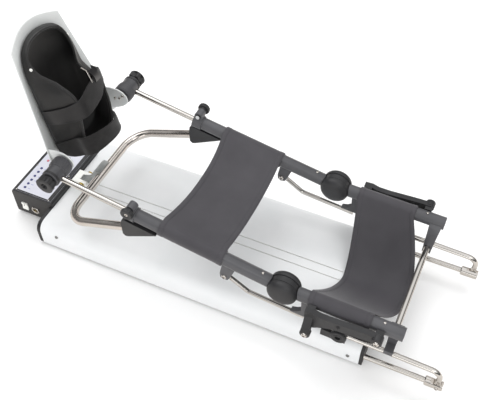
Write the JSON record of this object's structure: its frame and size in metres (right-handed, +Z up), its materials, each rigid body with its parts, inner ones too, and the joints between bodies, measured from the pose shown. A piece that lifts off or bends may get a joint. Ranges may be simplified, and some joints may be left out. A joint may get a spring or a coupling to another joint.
{
  "type": "continuous passive motion machine",
  "caption": "Motor-driven leg exerciser: a flat base, a jointed thigh and calf carrier with fabric slings, and a footplate with a soft boot.",
  "frame": {"origin": "on the floor, under the middle of the machine's length and width at full extension", "axes": "+X towards the hip end, -X towards the foot end, +Y towards the patient's right side, +Z up"},
  "size_m": [0.9373, 0.359, 0.4557],
  "materials": {
    "cover_white": "semi-gloss white",
    "black_paint": "satin black",
    "galvanised": "plain zinc grey",
    "rubber": "matt",
    "steel": "machined",
    "grey_plastic": "matt",
    "overlay_pale": "printed film, bare",
    "key_blue": "matt",
    "red_plastic": "matt",
    "white_plastic": "matt",
    "chrome": "polished",
    "brass": "yellow zinc",
    "dark_tube": "semi-gloss dark grey",
    "sling_fabric": "woven, dark grey",
    "foam_black": "fabric over foam",
    "strap_black": "webbing",
    "plate_grey": "pale grey, satin"
  },
  "bodies": {
    "base": {"base_cover": "cover_white", "foot_end_cap": "black_paint", "hip_end_plate": "black_paint", "base_tray": "galvanised", "foot_strip_front": "rubber", "foot_strip_rear": "rubber", "drive_motor": "grey_plastic", "control_housing": "black_paint", "keypad_overlay": "overlay_pale", "handset_socket": "chrome", "lower_rod_left": "chrome", "lower_rod_right": "chrome"},
    "screw": {"lead_screw": "steel"},
    "switch": {"power_switch": "white_plastic"},
    "key_1": {"key_1": "key_blue"},
    "key_2": {"key_2": "key_blue"},
    "key_3": {"key_3": "key_blue"},
    "key_4": {"key_4": "key_blue"},
    "key_5": {"key_5": "key_blue"},
    "key_6": {"key_6": "key_blue"},
    "key_7": {"key_7": "red_plastic"},
    "rods": {"upper_rod_left": "chrome", "upper_rod_right": "chrome", "rod_clamp_left": "black_paint", "rod_clamp_right": "black_paint"},
    "rod_knob_left": {"clamp_knob_left": "black_paint"},
    "rod_knob_right": {"clamp_knob_right": "black_paint"},
    "thigh": {"thigh_tube_left": "dark_tube", "thigh_tube_right": "dark_tube", "side_arm_left": "black_paint", "side_arm_right": "black_paint", "knee_housing_left": "black_paint", "knee_housing_right": "black_paint", "cross_bar": "chrome", "thigh_sling": "sling_fabric"},
    "calf": {"knee_disc_left": "black_paint", "knee_disc_right": "black_paint", "calf_tube_left": "dark_tube", "calf_tube_right": "dark_tube", "wedge_bracket_left": "black_paint", "wedge_bracket_right": "black_paint", "u_tube": "chrome", "calf_sling": "sling_fabric", "carriage_bracket": "galvanised", "pivot_bolt": "brass"},
    "calf_knob_left": {"calf_knob_left": "black_paint"},
    "calf_knob_right": {"calf_knob_right": "black_paint"},
    "link_left": {"link_rod_left": "chrome"},
    "link_right": {"link_rod_right": "chrome"},
    "carriage": {"carriage_block": "white_plastic"},
    "foot_rods": {"calf_rod_left": "chrome", "calf_rod_right": "chrome", "foot_clamp_left": "black_paint", "foot_clamp_right": "black_paint"},
    "foot": {"footplate": "plate_grey", "boot": "foam_black", "instep_strap": "strap_black", "ankle_strap": "strap_black"},
    "foot_knob_left": {"foot_knob_left": "black_paint"},
    "foot_knob_right": {"foot_knob_right": "black_paint"}
  },
  "joints": [
    {"name": "screw_turn", "type": "hinge", "parent": "base", "child": "screw", "pos_m": [-0.351, 0, 0.032], "axis": [1, 0, 0], "continuous": true},
    {"name": "power_rocker", "type": "hinge", "parent": "base", "child": "switch", "pos_m": [-0.4455, -0.078, 0.029], "axis": [1, 0, 0], "range_deg": [-5, 5]},
    {"name": "key_1_press", "type": "slide", "parent": "base", "child": "key_1", "axis": [0, 0, -1], "range_m": [0, 0.0006], "stiffness_N_per_m": 300, "springref_m": -0.0005},
    {"name": "key_2_press", "type": "slide", "parent": "base", "child": "key_2", "axis": [0, 0, -1], "range_m": [0, 0.0006], "stiffness_N_per_m": 300, "springref_m": -0.0005},
    {"name": "key_3_press", "type": "slide", "parent": "base", "child": "key_3", "axis": [0, 0, -1], "range_m": [0, 0.0006], "stiffness_N_per_m": 300, "springref_m": -0.0005},
    {"name": "key_4_press", "type": "slide", "parent": "base", "child": "key_4", "axis": [0, 0, -1], "range_m": [0, 0.0006], "stiffness_N_per_m": 300, "springref_m": -0.0005},
    {"name": "key_5_press", "type": "slide", "parent": "base", "child": "key_5", "axis": [0, 0, -1], "range_m": [0, 0.0006], "stiffness_N_per_m": 300, "springref_m": -0.0005},
    {"name": "key_6_press", "type": "slide", "parent": "base", "child": "key_6", "axis": [0, 0, -1], "range_m": [0, 0.0006], "stiffness_N_per_m": 300, "springref_m": -0.0005},
    {"name": "key_7_press", "type": "slide", "parent": "base", "child": "key_7", "axis": [0, 0, -1], "range_m": [0, 0.0006], "stiffness_N_per_m": 300, "springref_m": -0.0005},
    {"name": "hip_fold", "type": "hinge", "parent": "base", "child": "rods", "pos_m": [0.457, 0, 0.03], "axis": [0, 1, 0], "range_deg": [0, 60]},
    {"name": "thigh_slide", "type": "slide", "parent": "rods", "child": "thigh", "axis": [-0.9993, 0, 0.038], "range_m": [0, 0.10662]},
    {"name": "knee_fold", "type": "hinge", "parent": "thigh", "child": "calf", "pos_m": [0.163, 0, 0.153], "axis": [0, -1, 0], "range_deg": [0, 97.23]},
    {"name": "carriage_pivot", "type": "hinge", "parent": "calf", "child": "carriage", "pos_m": [-0.34, 0, 0.075], "axis": [0, 1, 0], "range_deg": [0, 37.23]},
    {"name": "link_left_pivot", "type": "hinge", "parent": "calf", "child": "link_left", "pos_m": [0.051, -0.131, 0.132], "axis": [0, 1, 0], "range_deg": [0, 57.6]},
    {"name": "link_right_pivot", "type": "hinge", "parent": "calf", "child": "link_right", "pos_m": [0.051, 0.131, 0.132], "axis": [0, 1, 0], "range_deg": [0, 57.6]},
    {"name": "calf_slide", "type": "slide", "parent": "calf", "child": "foot_rods", "axis": [-0.9819, 0, 0.1895], "range_m": [-0.02, 0.08]},
    {"name": "foot_tilt", "type": "hinge", "parent": "foot_rods", "child": "foot", "pos_m": [-0.2859, 0, 0.2434], "axis": [0, 1, 0], "range_deg": [-20, 30]},
    {"name": "rod_knob_left_turn", "type": "hinge", "parent": "rods", "child": "rod_knob_left", "pos_m": [0.27346, -0.1372, 0.09033], "axis": [0, 1, 0], "continuous": true},
    {"name": "calf_knob_left_turn", "type": "hinge", "parent": "calf", "child": "calf_knob_left", "pos_m": [-0.12787, -0.1204, 0.229], "axis": [0, 1, 0], "continuous": true},
    {"name": "foot_knob_left_turn", "type": "hinge", "parent": "foot_rods", "child": "foot_knob_left", "pos_m": [-0.2859, -0.1395, 0.2434], "axis": [0, 1, 0], "continuous": true},
    {"name": "rod_knob_right_turn", "type": "hinge", "parent": "rods", "child": "rod_knob_right", "pos_m": [0.27346, 0.1372, 0.09033], "axis": [0, 1, 0], "continuous": true},
    {"name": "calf_knob_right_turn", "type": "hinge", "parent": "calf", "child": "calf_knob_right", "pos_m": [-0.12787, 0.1204, 0.229], "axis": [0, 1, 0], "continuous": true},
    {"name": "foot_knob_right_turn", "type": "hinge", "parent": "foot_rods", "child": "foot_knob_right", "pos_m": [-0.2859, 0.1395, 0.2434], "axis": [0, 1, 0], "continuous": true}
  ],
  "couplings": [
    {"joint": "thigh_slide", "follows": "hip_fold", "m_per_rad": 0.10182},
    {"joint": "knee_fold", "follows": "hip_fold", "ratio": 1.6205},
    {"joint": "carriage_pivot", "follows": "hip_fold", "ratio": 0.6205},
    {"joint": "link_left_pivot", "follows": "hip_fold", "ratio": 0.96},
    {"joint": "link_right_pivot", "follows": "hip_fold", "ratio": 0.96}
  ]
}
